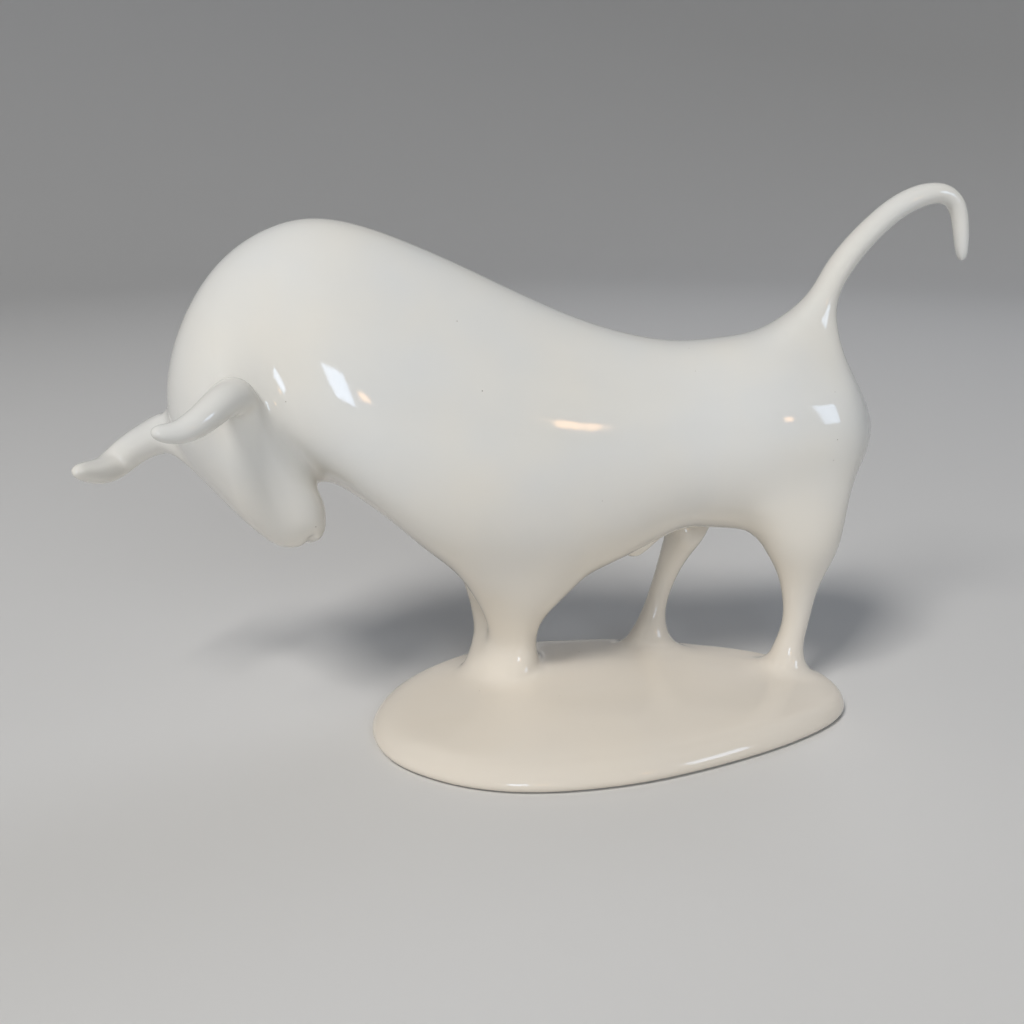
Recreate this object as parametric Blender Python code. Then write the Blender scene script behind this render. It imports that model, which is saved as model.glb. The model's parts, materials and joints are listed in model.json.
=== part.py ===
# Glazed porcelain bull on a low domed base, cast as one piece.
# Metres, +Z up. The bull faces -X and its left side is -Y.
# The origin is on the flat underside, in the middle of the base.

import bpy
import bmesh
from math import atan2, cos, pi, sin, sqrt
from mathutils import Vector

MM = 0.001

# Driving dimensions
FIGURE_HEIGHT = 190 * MM          # underside to the top of the tail
BODY_WIDTH = 72 * MM              # across the shoulders
BODY_OFFSET = 22 * MM             # the body stands this far behind the base's long axis
HORN_THICKNESS = 12 * MM
TAIL_THICKNESS = 8.4 * MM
HIND_LEG_THICKNESS = 10.2 * MM    # at the shin, the thinnest place
FRONT_LEGS_THICKNESS = 21 * MM    # both front legs together, seen from the side
BASE_RIM_HEIGHT = 8.3 * MM
BASE_CROWN_HEIGHT = 14.4 * MM     # the base is domed: its height in the middle
BASE_END_MARGIN = 16.6 * MM       # base beyond the rearmost foot
BASE_SIDE_MARGIN = 9.5 * MM       # base beyond the foot on the far side
UNDERSIDE_INSET = 4 * MM          # rounded edge between the rim and the flat underside

# The free form is drawn on a figure 190 units tall, so one unit is a millimetre here
DRAWN_HEIGHT = 190
UNIT = FIGURE_HEIGHT / DRAWN_HEIGHT
DRAWN_BODY_WIDTH = 72

# A smoothed cage with few sides lies inside its corners by this much
RING_SIDES = 16
LIMB_SIDES = 8


def cage_growth(sides):
    return 3 / (2 + cos(2 * pi / sides))


# Sections of the trunk from the rump to the shoulder: crest x and z, belly x and z, half width,
# and how far the widest place lies below the middle
TRUNK_SECTIONS = [
    (93.8, 118, 94.3, 88, 15, 0),
    (84.8, 132.5, 86.5, 73, 24, 0),
    (57, 139.5, 49, 66, 28, 1),
    (26, 136.5, 28, 68, 26.5, 2),
    (-7, 144, 5, 56.8, 28.5, 5),
    (-40, 158.8, -21, 49, 32.5, 9),
    (-72, 173.8, -57, 56.5, 35, 13),
    (-104, 182.3, -77, 76, 34.5, 15),
]

# Sections of the neck and head: front point, back point and half-width vector, each x, y, z,
# and how far the widest place lies below the middle.
# The head hangs below the neck, turned and tilted to the bull's left.
HEAD_SECTIONS = [
    ((-133, 22, 168), (-94, 21, 87), (3, -29, 4), 9),
    ((-150.5, 18, 138.5), (-102.5, 17.5, 91), (6, -26, 9), 2),
    ((-150.5, 7.5, 113), (-105, 14, 89.5), (8, -22, 10), 0),
    ((-134, 1, 92.5), (-104, 10, 84), (7.2, -14.5, 9), 0),
    ((-122.5, -1.5, 79.5), (-103.3, 5.5, 77.5), (4.6, -9.4, 5.6), 0),
    ((-117.5, -0.5, 75), (-105.5, 4, 74), (2.6, -5, 3), 0),
]
MUZZLE_BULGE = 1.5
RUMP_BULGE = 6

MOUTH_DEPTH = 2

# How much the soft valley between cheek and neck is smoothed, and how often
THROAT_EASING = 0.5
THROAT_EASING_STEPS = 3

# The drop under the belly, drawn on the four cells round one corner of the skin
DROP_INSET = 2
DROP_LENGTH_SHARE = 0.72
DROP_WIDTH_SHARE = 0.5
DROP_DEPTH = 3.8
DROP_ROUNDING = 1

# The horns: path points x, y, z and thickness as a share of the horn's own. The near horn's
# opening slides part of the way over the skin towards its root.
NEAR_HORN = [
    ((-126.4, -11.5, 129), 1.1),
    ((-127.8, -17, 130.8), 0.96),
    ((-130.8, -22.5, 129.3), 0.86),
    ((-134.8, -27, 126.3), 0.78),
    ((-139.8, -30.5, 123.6), 0.67),
    ((-144.2, -33, 123.3), 0.53),
    ((-148, -35, 124.6), 0.36),
]
NEAR_HORN_SLIDE = 0.5
FAR_HORN = [
    ((-154.5, 26.5, 109.5), 1.25),
    ((-161.8, 30.5, 106.1), 1.04),
    ((-168, 33.5, 102.6), 0.97),
    ((-173.6, 34.5, 98.3), 0.94),
    ((-177.2, 31, 95.7), 0.88),
    ((-179.6, 25, 96), 0.77),
    ((-182, 19, 97.8), 0.62),
    ((-184.3, 13.5, 99.8), 0.4),
]
HORN_TIP_REACH = 2

# The tail rises from the back, arches over and hooks down
TAIL = [
    ((77, 22, 149.5), 1.15),
    ((80.8, 22, 159.5), 1.13),
    ((87, 22, 168.5), 1.07),
    ((95, 22, 177), 1.0),
    ((103, 22, 183.5), 1.0),
    ((112, 22, 187.3), 0.95),
    ((120, 22, 187.5), 0.82),
    ((125, 22, 183), 0.75),
    ((127, 22, 176.5), 0.68),
    ((128.3, 22, 169.5), 0.62),
    ((129.2, 22, 164.5), 0.4),
]
TAIL_TIP_REACH = 1.5

# Hind legs from the thigh down: x, y, z, half length and half width as shares of the shin's
# thickness, and the drop from the outer to the inner side of the ring
NEAR_HIND_LEG = [
    (72.2, 6, 61, 1.36, 1.1, 5),
    (73.1, 8, 50.5, 0.84, 0.75, 2),
    (73.3, 9, 41, 0.6, 0.55, 0),
    (73.5, 9.2, 33, 0.49, 0.49, 0),
    (72.6, 9.5, 25.5, 0.47, 0.49, 0),
    (71, 9.5, 18.5, 0.54, 0.56, 0),
]
FAR_HIND_LEG = [
    (37.3, 37, 62, 0.7, 1.0, 5),
    (34.6, 39, 53, 0.62, 0.72, 2),
    (31, 39.8, 43, 0.47, 0.5, 0),
    (28.2, 40, 34, 0.4, 0.45, 0),
    (25.9, 39.5, 26, 0.41, 0.46, 0),
    (24, 38, 18.5, 0.58, 0.56, 0),
]
# Where each hind leg's fillet meets the base: x, y and half sizes
NEAR_HIND_FOOT = (70.5, 8.5, 0.92, 0.95)
FAR_HIND_FOOT = (22.5, 35.5, 1.15, 0.7)

# The front legs are one mass: x, y, z, half length and half width as shares of its thickness,
# how deep the groove between the two legs is, and how far the near leg stands behind the far one
FRONT_LEGS = [
    (-34, 23, 46.5, 1.0, 1.0, 0.25, 3),
    (-37, 23.5, 38, 0.66, 0.82, 0.32, 4.5),
    (-38, 24, 30.5, 0.49, 0.7, 0.28, 5.5),
    (-37.8, 24.5, 24, 0.45, 0.66, 0.12, 5.5),
    (-38, 24, 18, 0.53, 0.72, 0.0, 5),
]
FRONT_FOOT = (-38.5, 22.7, 0.8, 0.87)

# The base's outline, every 30 degrees from the tail end round its far side, as shares of its
# half length and half depth
BASE_OUTLINE = [
    (1.01, -0.07), (0.895, 0.385), (0.52, 0.79), (0.07, 1.06), (-0.41, 1.065), (-0.845, 0.665),
    (-1.02, 0.05), (-0.925, -0.55), (-0.565, -0.955), (-0.07, -1.01), (0.46, -0.78), (0.875, -0.435),
]

# The rim's upper edge is tucked in to these shares of the outline, less where a foot stands close
TUCK_HEAD_END = 0.94
TUCK_TAIL_END = 0.98
TUCK_NEAR_SIDE = 0.9
TUCK_FAR_SIDE = 0.985
# The loops below that edge swell out.
# Each has its reach as a share of the outline and its level as a share of the rim's height.
RIM_LOOPS = [(1.0, 0.62), (1.012, 0.2)]

# The cage of the base: a grid pressed into the outline
BASE_CELLS_X = 16
BASE_CELLS_Y = 10
RELAX_STEPS = 60


def blend(a, b, c, d, t):
    return 0.5 * (2 * b + (c - a) * t + (2 * a - 5 * b + 4 * c - d) * t * t
                  + (3 * b - a - 3 * c + d) * t * t * t)


def read_round(items, place):
    start = int(place)
    picks = [Vector(items[(start + step) % len(items)]) for step in (-1, 0, 1, 2)]
    return blend(*picks, place - start)


def read_between(items, place):
    last = len(items) - 1
    start = min(int(place), last - 1)
    picks = [items[max(0, min(last, start + step))] for step in (-1, 0, 1, 2)]
    return blend(*picks, place - start)


def to_disc(p, q):
    return p * sqrt(1 - q * q / 2), q * sqrt(1 - p * p / 2)


def spot(x, y, z):
    return Vector((x, y, z)) * UNIT


def trunk_and_head_frames():
    middle = BODY_OFFSET / UNIT
    widen = BODY_WIDTH / UNIT / DRAWN_BODY_WIDTH
    crests = [Vector((cx, middle, cz)) for cx, cz, bx, bz, half, hang in TRUNK_SECTIONS]
    bellies = [Vector((bx, middle, bz)) for cx, cz, bx, bz, half, hang in TRUNK_SECTIONS]
    sides = [Vector((0, -half * widen, 0)) for cx, cz, bx, bz, half, hang in TRUNK_SECTIONS]
    hangs = [hang for cx, cz, bx, bz, half, hang in TRUNK_SECTIONS]
    for front, back, side, hang in HEAD_SECTIONS:
        crests.append(Vector(front))
        bellies.append(Vector(back))
        sides.append(Vector(side))
        hangs.append(hang)
    return crests, bellies, sides, hangs


def ring_places(section_count):
    # one ring at each section and one halfway, but none halfway to the rump's end
    return [0] + [step / 2 for step in range(2, 2 * section_count - 1)]


def add_rings(cage, places, crests, bellies, sides, hangs):
    grow = cage_growth(RING_SIDES)
    rings = []
    for place in places:
        crest = read_between(crests, place)
        belly = read_between(bellies, place)
        side = read_between(sides, place) * grow
        hang = Vector((0, 0, -read_between(hangs, place)))
        centre = (crest + belly) / 2
        rise = (crest - belly) / 2 * grow
        ring = []
        for index in range(RING_SIDES):
            angle = 2 * pi * index / RING_SIDES
            point = centre + rise * cos(angle) + side * sin(angle) + hang * sin(angle) ** 2
            ring.append(cage.verts.new(point * UNIT))
        rings.append(ring)
    return rings


def skin_rings(cage, rings, openings):
    count = len(rings[0])
    for row in range(len(rings) - 1):
        for index in range(count):
            if (row, index) in openings:
                continue
            after = (index + 1) % count
            cage.faces.new((rings[row][index], rings[row][after],
                            rings[row + 1][after], rings[row + 1][index]))


def cap_ring(cage, ring, outward):
    # a grid of four by four cells closes a ring of sixteen
    quarter = len(ring) // 4
    centre = sum((vert.co for vert in ring), Vector()) / len(ring)
    rise = (ring[0].co - ring[2 * quarter].co) / 2
    side = (ring[quarter].co - ring[3 * quarter].co) / 2
    edge = quarter // 2
    grid = {}
    for row in range(quarter + 1):
        for column in range(quarter + 1):
            if row == 0:
                grid[row, column] = ring[(column - edge) % len(ring)]
            elif row == quarter:
                grid[row, column] = ring[(3 * quarter - edge - column) % len(ring)]
            elif column == 0:
                grid[row, column] = ring[(-edge - row) % len(ring)]
            elif column == quarter:
                grid[row, column] = ring[quarter - edge + row]
            else:
                p, q = to_disc(2 * column / quarter - 1, 1 - 2 * row / quarter)
                bulge = outward * (1 - p * p - q * q)
                grid[row, column] = cage.verts.new(centre + side * p + rise * q + bulge)
    for row in range(quarter):
        for column in range(quarter):
            cage.faces.new((grid[row, column], grid[row, column + 1],
                            grid[row + 1, column + 1], grid[row + 1, column]))
    return grid


def cut_mouth(muzzle, heading):
    # the row of the muzzle's cap above the chin lies deeper
    last = RING_SIDES // 4
    for column in range(last + 1):
        muzzle[last - 1, column].co -= heading * MOUTH_DEPTH * UNIT


def centre_rim(rim, root, share):
    # slides an opening over the skin towards the root of its limb
    middle = sum((vert.co for vert in rim), Vector()) / len(rim)
    for vert in rim:
        vert.co += (root - middle) * share


def rim_of(node, rows, columns):
    # walks round a block of cells and gives each corner with its place from -1 to 1
    row_count = len(rows) - 1
    column_count = len(columns) - 1
    walk = [(0, c) for c in range(column_count)]
    walk += [(r, column_count) for r in range(row_count)]
    walk += [(row_count, c) for c in range(column_count, 0, -1)]
    walk += [(r, 0) for r in range(row_count, 0, -1)]
    verts = [node(rows[r], columns[c]) for r, c in walk]
    places = [(1 - 2 * r / row_count, 2 * c / column_count - 1) for r, c in walk]
    return verts, places


def join_loops(cage, first, second):
    for index in range(len(first)):
        after = (index + 1) % len(first)
        cage.faces.new((first[index], first[after], second[after], second[index]))


def close_tip(cage, loop, tip):
    centre = cage.verts.new(tip)
    for corner in range(0, len(loop), 2):
        cage.faces.new((loop[corner - 1], loop[corner], loop[corner + 1], centre))


def add_limb(cage, rim, places, path, thickness, first_axis, tip_reach):
    # rings along a curved path, turned with it, closed by a rounded tip
    grow = cage_growth(LIMB_SIDES)
    points = [spot(*point) for point, share in path]
    axis = first_axis
    loop = rim
    for index, (point, share) in enumerate(path):
        ahead = points[min(index + 1, len(points) - 1)]
        behind = points[max(index - 1, 0)]
        heading = (ahead - behind).normalized()
        axis = (axis - heading * axis.dot(heading)).normalized()
        across = heading.cross(axis)
        radius = thickness / 2 * share * grow
        ring = []
        for p, q in places:
            u, v = to_disc(p, q)
            ring.append(cage.verts.new(points[index] + (axis * u + across * v) * radius))
        join_loops(cage, loop, ring)
        loop = ring
    close_tip(cage, loop, points[-1] + heading * tip_reach)


def add_hind_leg(cage, rim, places, rings, inward):
    grow = cage_growth(LIMB_SIDES)
    loop = rim
    for x, y, z, long_share, wide_share, drop in rings:
        centre = spot(x, y, z)
        ring = []
        for p, q in places:
            u, v = to_disc(p, q)
            shift = Vector((u * long_share * HIND_LEG_THICKNESS * grow,
                            v * wide_share * HIND_LEG_THICKNESS * grow * inward,
                            -v * drop * UNIT))
            ring.append(cage.verts.new(centre + shift))
        join_loops(cage, loop, ring)
        loop = ring
    return loop


def add_front_legs(cage, rim, places):
    grow = cage_growth(len(places))
    loop = rim
    for x, y, z, long_share, wide_share, groove, stagger in FRONT_LEGS:
        centre = spot(x, y, z)
        ring = []
        for p, q in places:
            u, v = to_disc(p, q)
            if q == 0:
                u -= u * groove * 2
            shift = Vector((u * long_share, v * wide_share, 0)) * FRONT_LEGS_THICKNESS * grow
            shift.x -= v * stagger * UNIT
            ring.append(cage.verts.new(centre + shift))
        join_loops(cage, loop, ring)
        loop = ring
    return loop


def base_half_size():
    rearmost = NEAR_HIND_LEG[-1][0] * UNIT
    farthest = FAR_HIND_LEG[-1][1] * UNIT
    return rearmost + BASE_END_MARGIN, farthest + BASE_SIDE_MARGIN


def outline_at(angle):
    half_length, half_depth = base_half_size()
    step = 2 * pi / len(BASE_OUTLINE)
    share = read_round(BASE_OUTLINE, (angle % (2 * pi)) / step)
    return Vector((share[0] * half_length, share[1] * half_depth, 0))


def outline_point(p, q):
    u, v = to_disc(p, q)
    return outline_at(atan2(v, u)) * sqrt(u * u + v * v)


def tuck_shares(point):
    along = TUCK_HEAD_END if point.x < 0 else TUCK_TAIL_END
    across = TUCK_NEAR_SIDE if point.y < 0 else TUCK_FAR_SIDE
    return along, across


def add_base_grid(cage):
    grid = {}
    for row in range(BASE_CELLS_X + 1):
        for column in range(BASE_CELLS_Y + 1):
            point = outline_point(2 * row / BASE_CELLS_X - 1, 2 * column / BASE_CELLS_Y - 1)
            along, across = tuck_shares(point)
            grid[row, column] = cage.verts.new((point.x * along, point.y * across, 0))
    return grid


def dome_height(inside):
    return BASE_RIM_HEIGHT + (BASE_CROWN_HEIGHT - BASE_RIM_HEIGHT) * inside


def edge_share(point):
    # how far out a point lies: 0 in the middle, 1 on the outline
    half_length, half_depth = base_half_size()
    edge = outline_at(atan2(point.y / half_depth, point.x / half_length))
    return min(1.0, point.xy.length / edge.xy.length)


def set_foot(rim, places, foot, thickness, inward):
    x, y, long_share, wide_share = foot
    for vert, (p, q) in zip(rim, places):
        u, v = to_disc(p, q)
        shift = Vector((u * long_share, v * wide_share * inward, 0)) * thickness
        vert.co = spot(x, y, 0) + shift


def relax_grid(grid, fixed):
    free = [key for key in grid if key not in fixed]
    for step in range(RELAX_STEPS):
        for row, column in free:
            around = [grid[row - 1, column], grid[row + 1, column],
                      grid[row, column - 1], grid[row, column + 1]]
            grid[row, column].co = sum((vert.co for vert in around), Vector()) / 4


def build_base(cage, feet):
    # feet: block of cells, place of the foot's last ring, size of the flare and that ring
    grid = add_base_grid(cage)
    edge = {(row, column) for row, column in grid
            if row in (0, BASE_CELLS_X) or column in (0, BASE_CELLS_Y)}
    fixed = set(edge)
    closed_cells = set()
    for rows, columns, foot, thickness, inward, last_loop in feet:
        rim, places = rim_of(lambda r, c: grid[r, c], rows, columns)
        set_foot(rim, places, foot, thickness, inward)
        inside_rows = range(min(rows), max(rows) + 1)
        inside_columns = range(min(columns), max(columns) + 1)
        fixed.update((r, c) for r in inside_rows for c in inside_columns)
        closed_cells.update((r, c) for r in inside_rows[:-1] for c in inside_columns[:-1])
        join_loops(cage, last_loop, rim)
    relax_grid(grid, fixed)
    for key, vert in grid.items():
        vert.co.z = dome_height(1 - edge_share(vert.co) ** 2)
    for row in range(BASE_CELLS_X):
        for column in range(BASE_CELLS_Y):
            if (row, column) not in closed_cells:
                cage.faces.new((grid[row, column], grid[row + 1, column],
                                grid[row + 1, column + 1], grid[row, column + 1]))
    add_rim_and_underside(cage, grid)


def add_rim_and_underside(cage, grid):
    rim, places = rim_of(lambda r, c: grid[r, c],
                         range(BASE_CELLS_X, -1, -1), range(BASE_CELLS_Y + 1))
    outline = []
    for vert in rim:
        along, across = tuck_shares(vert.co)
        outline.append(Vector((vert.co.x / along, vert.co.y / across, 0)))
    loop = rim
    for reach, level in RIM_LOOPS:
        lift = Vector((0, 0, BASE_RIM_HEIGHT * level))
        ring = [cage.verts.new(point * reach + lift) for point in outline]
        join_loops(cage, loop, ring)
        loop = ring
    for inset in (UNDERSIDE_INSET / 2, UNDERSIDE_INSET * 3 / 2):
        ring = [cage.verts.new(point - point.normalized() * inset) for point in outline]
        join_loops(cage, loop, ring)
        loop = ring
    cage.faces.new(loop)


def ease_throat(cage, places, rings):
    first = places.index(8.5)
    last = places.index(10.5)
    valley = [vert for ring in rings[first:last + 1] for vert in ring[5:12]]
    for step in range(THROAT_EASING_STEPS):
        bmesh.ops.smooth_vert(cage, verts=valley, factor=THROAT_EASING,
                              use_axis_x=True, use_axis_y=True, use_axis_z=True)


def hang_drop(cage, belly_corner):
    faces = list(belly_corner.link_faces)
    bmesh.ops.inset_region(cage, faces=faces, thickness=DROP_INSET * UNIT, depth=0)
    for vert in {vert for face in faces for vert in face.verts}:
        vert.co.y = BODY_OFFSET + (vert.co.y - BODY_OFFSET) * DROP_WIDTH_SHARE
    bmesh.ops.inset_region(cage, faces=faces, thickness=DROP_ROUNDING * UNIT, depth=0)
    verts = {vert for face in faces for vert in face.verts}
    front = min(vert.co.x for vert in verts)
    rear = max(vert.co.x for vert in verts)
    for vert in verts:
        hang = (rear - vert.co.x) / (rear - front)
        vert.co.x = rear - (rear - vert.co.x) * DROP_LENGTH_SHARE
        vert.co.z -= DROP_DEPTH * UNIT * hang


def plan_openings(places, rings):
    # for each limb the section where its opening starts, rows of cells and ring corners
    openings = {
        "tail": (1, 2, [1, 0, 15]),
        "near hind leg": (1, 2, [5, 6, 7]),
        "far hind leg": (2, 2, [11, 10, 9]),
        "front legs": (4.5, 3, [6, 7, 8, 9, 10]),
        "near horn": (8.5, 2, [4, 3, 2]),
        "far horn": (9.5, 2, [15, 14, 13]),
    }
    rims = {}
    open_cells = set()
    for name, (section, row_count, corners) in openings.items():
        first_row = places.index(section)
        rows = range(first_row, first_row + row_count + 1)
        rims[name] = rim_of(lambda r, c: rings[r][c], rows, corners)
        for row in rows[:-1]:
            for first, second in zip(corners, corners[1:]):
                low = first if (first + 1) % RING_SIDES == second else second
                open_cells.add((row, low))
    return rims, open_cells


def build_body(cage):
    crests, bellies, sides, hangs = trunk_and_head_frames()
    places = ring_places(len(crests))
    rings = add_rings(cage, places, crests, bellies, sides, hangs)
    rims, open_cells = plan_openings(places, rings)
    skin_rings(cage, rings, open_cells)
    ease_throat(cage, places, rings)
    centre_rim(rims["near horn"][0], spot(*NEAR_HORN[0][0]), NEAR_HORN_SLIDE)
    cap_ring(cage, rings[0], Vector((RUMP_BULGE, 0, 0)) * UNIT)
    heading = (crests[-1] + bellies[-1] - crests[-2] - bellies[-2]).normalized()
    muzzle = cap_ring(cage, rings[-1], heading * MUZZLE_BULGE * UNIT)
    cut_mouth(muzzle, heading)
    return rims, rings[places.index(3.5)][RING_SIDES // 2]


def add_tail_and_horns(cage, rims):
    lengthwise = Vector((1, 0, 0))
    front, back, side, hang = HEAD_SECTIONS[-1]
    brow_front, brow_back, brow_side, brow_hang = HEAD_SECTIONS[-3]
    up_the_head = Vector(brow_front) + Vector(brow_back) - Vector(front) - Vector(back)
    up_the_head.normalize()
    tail_reach = TAIL_TIP_REACH * UNIT
    horn_reach = HORN_TIP_REACH * UNIT
    add_limb(cage, *rims["tail"], TAIL, TAIL_THICKNESS, lengthwise, tail_reach)
    add_limb(cage, *rims["near horn"], NEAR_HORN, HORN_THICKNESS, up_the_head, horn_reach)
    add_limb(cage, *rims["far horn"], FAR_HORN, HORN_THICKNESS, up_the_head, horn_reach)


def add_legs(cage, rims):
    near_loop = add_hind_leg(cage, *rims["near hind leg"], NEAR_HIND_LEG, 1)
    far_loop = add_hind_leg(cage, *rims["far hind leg"], FAR_HIND_LEG, -1)
    front_loop = add_front_legs(cage, *rims["front legs"])
    # each foot takes a block of the base's cells
    return [
        ([6, 5, 4, 3], [5, 6, 7, 8, 9], FRONT_FOOT, FRONT_LEGS_THICKNESS, 1, front_loop),
        ([15, 14, 13], [5, 6, 7], NEAR_HIND_FOOT, HIND_LEG_THICKNESS, 1, near_loop),
        ([11, 10, 9], [9, 8, 7], FAR_HIND_FOOT, HIND_LEG_THICKNESS, -1, far_loop),
    ]


def build_cage():
    cage = bmesh.new()
    rims, belly_corner = build_body(cage)
    add_tail_and_horns(cage, rims)
    feet = add_legs(cage, rims)
    hang_drop(cage, belly_corner)
    build_base(cage, feet)
    loose = [vert for vert in cage.verts if not vert.link_faces]
    bmesh.ops.delete(cage, geom=loose, context='VERTS')
    bmesh.ops.recalc_face_normals(cage, faces=cage.faces)
    return cage


def white_glaze():
    material = bpy.data.materials.new("white_glaze")
    material.use_nodes = True
    shader = material.node_tree.nodes["Principled BSDF"]
    shader.inputs["Base Color"].default_value = (0.78, 0.76, 0.73, 1)
    shader.inputs["Roughness"].default_value = 0.12
    shader.inputs["Metallic"].default_value = 0.0
    return material


def main():
    for item in list(bpy.data.objects):
        bpy.data.objects.remove(item)
    cage = build_cage()
    mesh = bpy.data.meshes.new("bull_sculpture")
    cage.to_mesh(mesh)
    cage.free()
    mesh.shade_smooth()
    mesh.materials.append(white_glaze())
    bull = bpy.data.objects.new("bull_sculpture", mesh)
    bpy.context.scene.collection.objects.link(bull)
    smooth = bull.modifiers.new("smooth form", 'SUBSURF')
    smooth.levels = 1
    smooth.render_levels = 1
    smooth.use_limit_surface = False


main()
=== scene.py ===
# Finish, light and camera for the glazed porcelain bull, in metres with +Z up
import json
import math

import bpy
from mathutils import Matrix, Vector

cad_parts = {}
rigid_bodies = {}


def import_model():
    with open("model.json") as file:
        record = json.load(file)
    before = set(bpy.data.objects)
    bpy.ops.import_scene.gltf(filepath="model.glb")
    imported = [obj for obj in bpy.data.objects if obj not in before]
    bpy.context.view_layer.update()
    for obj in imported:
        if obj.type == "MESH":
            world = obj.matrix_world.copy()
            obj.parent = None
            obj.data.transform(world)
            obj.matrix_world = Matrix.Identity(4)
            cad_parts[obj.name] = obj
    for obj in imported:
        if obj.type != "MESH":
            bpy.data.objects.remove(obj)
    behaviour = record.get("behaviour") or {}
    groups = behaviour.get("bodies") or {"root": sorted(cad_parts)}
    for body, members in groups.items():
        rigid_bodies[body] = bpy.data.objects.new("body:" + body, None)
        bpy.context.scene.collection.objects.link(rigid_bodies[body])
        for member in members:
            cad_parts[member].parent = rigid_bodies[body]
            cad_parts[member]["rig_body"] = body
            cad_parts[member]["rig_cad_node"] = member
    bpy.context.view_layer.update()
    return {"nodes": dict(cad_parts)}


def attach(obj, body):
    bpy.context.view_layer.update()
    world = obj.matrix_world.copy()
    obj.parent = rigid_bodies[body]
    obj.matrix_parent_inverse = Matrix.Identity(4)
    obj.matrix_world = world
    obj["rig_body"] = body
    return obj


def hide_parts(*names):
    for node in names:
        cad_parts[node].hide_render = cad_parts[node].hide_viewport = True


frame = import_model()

mm = 0.001
print("frame loaded:", sorted(frame["nodes"]))


def linearColour(code):
    # sRGB hex to the linear values that Blender's sockets take
    channels = [int(code[place:place + 2], 16) / 255 for place in (1, 3, 5)]
    linear = [c / 12.92 if c <= 0.04045 else ((c + 0.055) / 1.055) ** 2.4 for c in channels]
    return (*linear, 1.0)


def addNode(tree, kind, settings=None, values=None, links=None):
    node = tree.nodes.new(kind)
    for name, value in (settings or {}).items():
        setattr(node, name, value)
    for name, value in (values or {}).items():
        node.inputs[name].default_value = value
    for name, socket in (links or {}).items():
        tree.links.new(socket, node.inputs[name])
    return node


def newMaterial(name):
    material = bpy.data.materials.new(name)
    material.use_nodes = True
    tree = material.node_tree
    return material, tree, tree.nodes["Principled BSDF"]


def selectOnly(thing):
    if bpy.context.object and bpy.context.object.mode != 'OBJECT':
        bpy.ops.object.mode_set(mode='OBJECT')
    bpy.ops.object.select_all(action='DESELECT')
    thing.select_set(True)
    bpy.context.view_layer.objects.active = thing


glaze = {
    "body": "#ECE9E1",           # warm white of the fired body under clear glaze
    "cool": "#E6E6E3",           # where the glaze lies thicker
    "cream": "#EBE0D0",          # creamier and a little darker towards the bottom
    "creamHeight": 110 * mm,     # no cream above this
    "creamShare": 0.8,           # share of cream at the very bottom
    "speck": "#8C8072",          # iron specks and pinholes
    "speckSpacing": 7 * mm,
    "speckRadius": 0.28 * mm,    # the largest ones
    "speckEdge": 0.15 * mm,      # width of a speck's soft edge
    "speckFree": 0.45,           # share of the spaces that stay without a speck
    "biscuit": "#D9D2C6",        # bare body on the foot ring
    "biscuitRoughness": 0.75,
    "footHeight": 1.2 * mm,      # the bare ring reaches up this far
    "clouds": 45 * mm,           # size of the uneven patches
    "cloudRange": (0.35, 0.65),  # how sharply they part
    "ripple": 9 * mm,            # length of the glaze's waves
    "rippleHeight": 0.05 * mm,
    "roughness": (0.05, 0.09),   # varies a little with the patches
    "ior": 1.52,                 # a lead-free clear glaze
}


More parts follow.
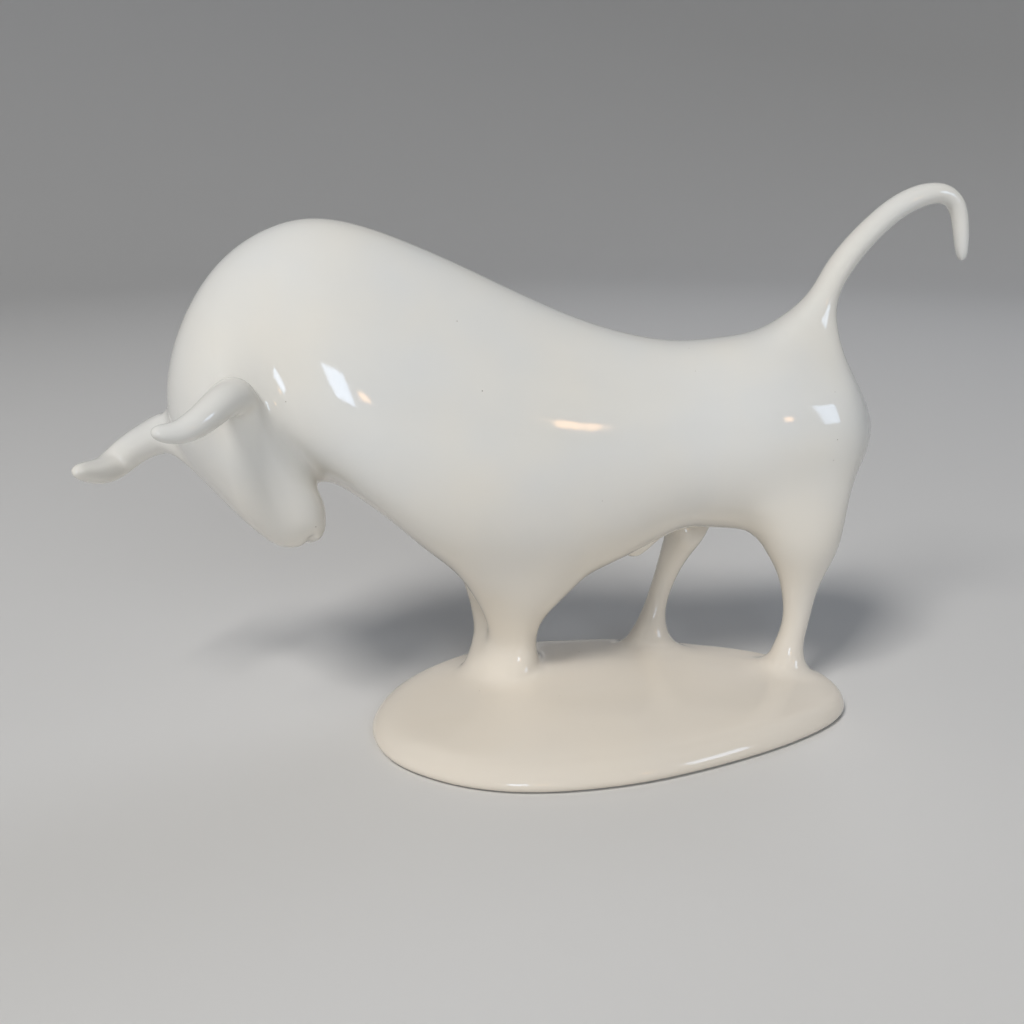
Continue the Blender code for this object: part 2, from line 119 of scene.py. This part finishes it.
def glazedPorcelain():
    # Slip-cast porcelain under a dipped clear glaze: mirror-like, gently wavy, with a few pinholes
    material, tree, shader = newMaterial("glazed porcelain, dipped and fired")
    place = addNode(tree, "ShaderNodeTexCoord").outputs["Object"]
    clouds = addNode(tree, "ShaderNodeTexNoise",
                     values={"Scale": 1 / glaze["clouds"], "Detail": 2.0, "Roughness": 0.45},
                     links={"Vector": place})
    cloudLow, cloudHigh = glaze["cloudRange"]
    cloudShare = addNode(tree, "ShaderNodeMapRange",
                         values={"From Min": cloudLow, "From Max": cloudHigh},
                         links={"Value": clouds.outputs["Fac"]})
    tone = addNode(tree, "ShaderNodeMix", {"data_type": 'RGBA'},
                   {6: linearColour(glaze["body"]), 7: linearColour(glaze["cool"])},
                   {0: cloudShare.outputs["Result"]})

    height = addNode(tree, "ShaderNodeSeparateXYZ", links={"Vector": place})
    low = addNode(tree, "ShaderNodeMapRange",
                  values={"From Max": glaze["creamHeight"], "To Min": glaze["creamShare"],
                          "To Max": 0.0},
                  links={"Value": height.outputs["Z"]})
    creamed = addNode(tree, "ShaderNodeMix", {"data_type": 'RGBA'},
                      {7: linearColour(glaze["cream"])},
                      {0: low.outputs["Result"], 6: tone.outputs[2]})

    cells = addNode(tree, "ShaderNodeTexVoronoi", values={"Scale": 1 / glaze["speckSpacing"]},
                    links={"Vector": place})
    chance = addNode(tree, "ShaderNodeSeparateColor", links={"Color": cells.outputs["Color"]})
    reach = addNode(tree, "ShaderNodeMapRange",
                    values={"From Min": glaze["speckFree"],
                            "To Max": glaze["speckRadius"] / glaze["speckSpacing"]},
                    links={"Value": chance.outputs["Red"]})
    inside = addNode(tree, "ShaderNodeMath", {"operation": 'SUBTRACT'},
                     links={0: reach.outputs["Result"], 1: cells.outputs["Distance"]})
    speck = addNode(tree, "ShaderNodeMapRange",
                    values={"From Max": glaze["speckEdge"] / glaze["speckSpacing"]},
                    links={"Value": inside.outputs["Value"]})
    speckled = addNode(tree, "ShaderNodeMix", {"data_type": 'RGBA'},
                       {7: linearColour(glaze["speck"])},
                       {0: speck.outputs["Result"], 6: creamed.outputs[2]})

    foot = addNode(tree, "ShaderNodeMapRange",
                   values={"From Min": glaze["footHeight"], "From Max": glaze["footHeight"] / 2},
                   links={"Value": height.outputs["Z"]})
    colour = addNode(tree, "ShaderNodeMix", {"data_type": 'RGBA'},
                     {7: linearColour(glaze["biscuit"])},
                     {0: foot.outputs["Result"], 6: speckled.outputs[2]})
    glossiest, dullest = glaze["roughness"]
    polish = addNode(tree, "ShaderNodeMapRange",
                     values={"To Min": glossiest, "To Max": dullest},
                     links={"Value": clouds.outputs["Fac"]})
    rough = addNode(tree, "ShaderNodeMix", values={3: glaze["biscuitRoughness"]},
                    links={0: foot.outputs["Result"], 2: polish.outputs["Result"]})

    ripple = addNode(tree, "ShaderNodeTexNoise",
                     values={"Scale": 1 / glaze["ripple"], "Detail": 1.0},
                     links={"Vector": place})
    surface = addNode(tree, "ShaderNodeMath", {"operation": 'SUBTRACT'},
                      links={0: ripple.outputs["Fac"], 1: speck.outputs["Result"]})
    bump = addNode(tree, "ShaderNodeBump",
                   values={"Strength": 1.0, "Distance": glaze["rippleHeight"]},
                   links={"Height": surface.outputs["Value"]})
    tree.links.new(colour.outputs[2], shader.inputs["Base Color"])
    tree.links.new(rough.outputs[0], shader.inputs["Roughness"])
    tree.links.new(bump.outputs["Normal"], shader.inputs["Normal"])
    shader.inputs["IOR"].default_value = glaze["ior"]
    return material


bullForm = {
    "mergeDistance": 0.02 * mm,
    "smoothLevels": 2,           # each level makes four faces out of one
}


def makeBull():
    bull = frame["nodes"]["bull_sculpture"].copy()
    bull.data = bull.data.copy()
    bull.name = "bull"
    bull.parent = None
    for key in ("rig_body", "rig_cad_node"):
        del bull[key]
    bpy.context.scene.collection.objects.link(bull)
    selectOnly(bull)
    bpy.ops.object.mode_set(mode='EDIT')
    bpy.ops.mesh.select_all(action='SELECT')
    bpy.ops.mesh.remove_doubles(threshold=bullForm["mergeDistance"])
    bpy.ops.mesh.tris_convert_to_quads(face_threshold=math.pi, shape_threshold=math.pi,
                                       topology_influence=1.0)
    bpy.ops.object.mode_set(mode='OBJECT')
    sides = [len(face.vertices) for face in bull.data.polygons]
    print("bull cage:", len(sides), "faces,", sides.count(3), "triangles")
    smooth = bull.modifiers.new("smooth", 'SUBSURF')
    smooth.levels = smooth.render_levels = bullForm["smoothLevels"]
    smooth.use_limit_surface = False
    bpy.ops.object.modifier_apply(modifier=smooth.name)
    bpy.ops.object.shade_smooth()
    bull.data.materials.clear()
    bull.data.materials.append(glazedPorcelain())
    return bull


bull = makeBull()
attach(bull, "root")
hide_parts("bull_sculpture")
print("bull finished:", len(bull.data.polygons), "faces")

studio = {
    "floorRadius": 2.4,
    "floorSides": 96,
    "wallHeight": 1.6,
    "bendRadius": 1.0,           # the floor sweeps up into the wall
    "bendSteps": 12,
    "floorColour": "#DEDDDB",
    "wallColour": "#C6C7C9",
    "gradeFrom": 0.02,           # the colour grades from floor to wall between these heights
    "gradeTo": 0.9,
    "roughness": 0.9,
    "grain": 6 * mm,             # far coarser than a roller's, so that it shows at all
    "grainHeight": 0.1 * mm,
    "grainStrength": 0.15,
    "skyColour": "#B4C6D8",
    "skyStrength": 0.05,
}


def paintedBoard():
    # Matt emulsion on smooth board: no gloss, a faint roller grain
    material, tree, shader = newMaterial("matt painted board, rolled")
    place = addNode(tree, "ShaderNodeTexCoord").outputs["Object"]
    grain = addNode(tree, "ShaderNodeTexNoise", values={"Scale": 1 / studio["grain"]},
                    links={"Vector": place})
    bump = addNode(tree, "ShaderNodeBump",
                   values={"Strength": studio["grainStrength"], "Distance": studio["grainHeight"]},
                   links={"Height": grain.outputs["Fac"]})
    height = addNode(tree, "ShaderNodeSeparateXYZ", links={"Vector": place})
    up = addNode(tree, "ShaderNodeMapRange",
                 values={"From Min": studio["gradeFrom"], "From Max": studio["gradeTo"]},
                 links={"Value": height.outputs["Z"]})
    paint = addNode(tree, "ShaderNodeMix", {"data_type": 'RGBA'},
                    {6: linearColour(studio["floorColour"]), 7: linearColour(studio["wallColour"])},
                    {0: up.outputs["Result"]})
    tree.links.new(bump.outputs["Normal"], shader.inputs["Normal"])
    tree.links.new(paint.outputs[2], shader.inputs["Base Color"])
    shader.inputs["Roughness"].default_value = studio["roughness"]
    shader.inputs["Specular IOR Level"].default_value = 0.0
    return material


def makeFloor():
    bpy.ops.object.select_all(action='DESELECT')
    bpy.ops.mesh.primitive_circle_add(vertices=studio["floorSides"], radius=studio["floorRadius"],
                                      fill_type='NGON')
    floor = bpy.context.object
    floor.name = "floor"
    bpy.ops.object.mode_set(mode='EDIT')
    bpy.ops.mesh.select_mode(type='EDGE')
    bpy.ops.mesh.select_all(action='DESELECT')
    bpy.ops.mesh.select_non_manifold()
    bpy.ops.mesh.extrude_edges_move(TRANSFORM_OT_translate={"value": (0, 0, studio["wallHeight"])})
    bpy.ops.object.mode_set(mode='OBJECT')
    bend = floor.modifiers.new("bend", 'BEVEL')
    bend.width = studio["bendRadius"]
    bend.segments = studio["bendSteps"]
    bend.limit_method = 'ANGLE'
    bpy.ops.object.modifier_apply(modifier=bend.name)
    bpy.ops.object.shade_smooth()
    floor.data.materials.append(paintedBoard())
    return floor


makeFloor()
print("floor laid")

# Windows and warm lamps show only in the gloss, as small bright shapes.
# The soft boxes light all that is matt, and the body under the glaze.
lights = [
    {"name": "window left", "at": (-0.42, -1.60, 0.28), "size": (0.30, 0.38), "power": 2.9,
     "colour": "#CFE4FF", "inGloss": True},
    {"name": "window right", "at": (1.17, -1.10, 0.50), "size": (0.34, 0.46), "power": 2.8,
     "colour": "#CFE4FF", "inGloss": True},
    {"name": "warm lamp left", "at": (-0.10, -1.64, 0.27), "size": (0.10, 0.10), "power": 0.35,
     "colour": "#FFC890", "inGloss": True},
    {"name": "warm lamp right", "at": (0.78, -1.38, 0.45), "size": (0.09, 0.09), "power": 0.3,
     "colour": "#FFC890", "inGloss": True},
    {"name": "soft box left", "at": (-0.85, -0.95, 1.8), "size": (0.6, 0.6), "power": 27,
     "colour": "#FFFCF8", "inGloss": False},
    {"name": "soft box front", "at": (0.25, -1.75, 1.0), "size": (1.2, 0.8), "power": 8,
     "colour": "#E8F0FA", "inGloss": False},
    {"name": "soft box behind", "at": (0.75, 0.9, 1.3), "size": (0.8, 0.5), "power": 4,
     "colour": "#EEF3FF", "inGloss": False},
]
lampsFace = Vector((0, 0.02, 0.09))


def makeLights():
    for lamp in lights:
        data = bpy.data.lights.new(lamp["name"], 'AREA')
        data.shape = 'RECTANGLE'
        data.size, data.size_y = lamp["size"]
        data.energy = lamp["power"]
        data.color = linearColour(lamp["colour"])[:3]
        light = bpy.data.objects.new(lamp["name"], data)
        bpy.context.scene.collection.objects.link(light)
        light.location = lamp["at"]
        light.rotation_euler = (lampsFace - light.location).to_track_quat('-Z', 'Y').to_euler()
        light.visible_glossy = lamp["inGloss"]
        light.visible_diffuse = not lamp["inGloss"]


def makeSky():
    world = bpy.data.worlds.new("studio")
    bpy.context.scene.world = world
    world.use_nodes = True
    sky = world.node_tree.nodes["Background"]
    sky.inputs["Color"].default_value = linearColour(studio["skyColour"])
    sky.inputs["Strength"].default_value = studio["skyStrength"]


makeLights()
makeSky()
print("lights set:", len(lights))

photoCamera = {
    "at": (-0.0868, -0.3443, 0.203),
    "turn": 8.0,           # degrees from +Y towards +X
    "down": 19.05,         # degrees below the horizon
    "lens": 37.27,         # millimetres
    "sensor": 36,          # millimetres across
    "nearest": 10 * mm,
}


def makeCamera():
    data = bpy.data.cameras.new("camera")
    data.sensor_width = photoCamera["sensor"]
    data.lens = photoCamera["lens"]
    data.clip_start = photoCamera["nearest"]
    camera = bpy.data.objects.new("camera", data)
    bpy.context.scene.collection.objects.link(camera)
    camera.location = photoCamera["at"]
    camera.rotation_euler = (math.radians(90 - photoCamera["down"]), 0,
                             -math.radians(photoCamera["turn"]))
    bpy.context.scene.camera = camera
    bpy.context.scene.view_settings.view_transform = 'Standard'  # keeps the white glaze bright


makeCamera()
print("camera set")
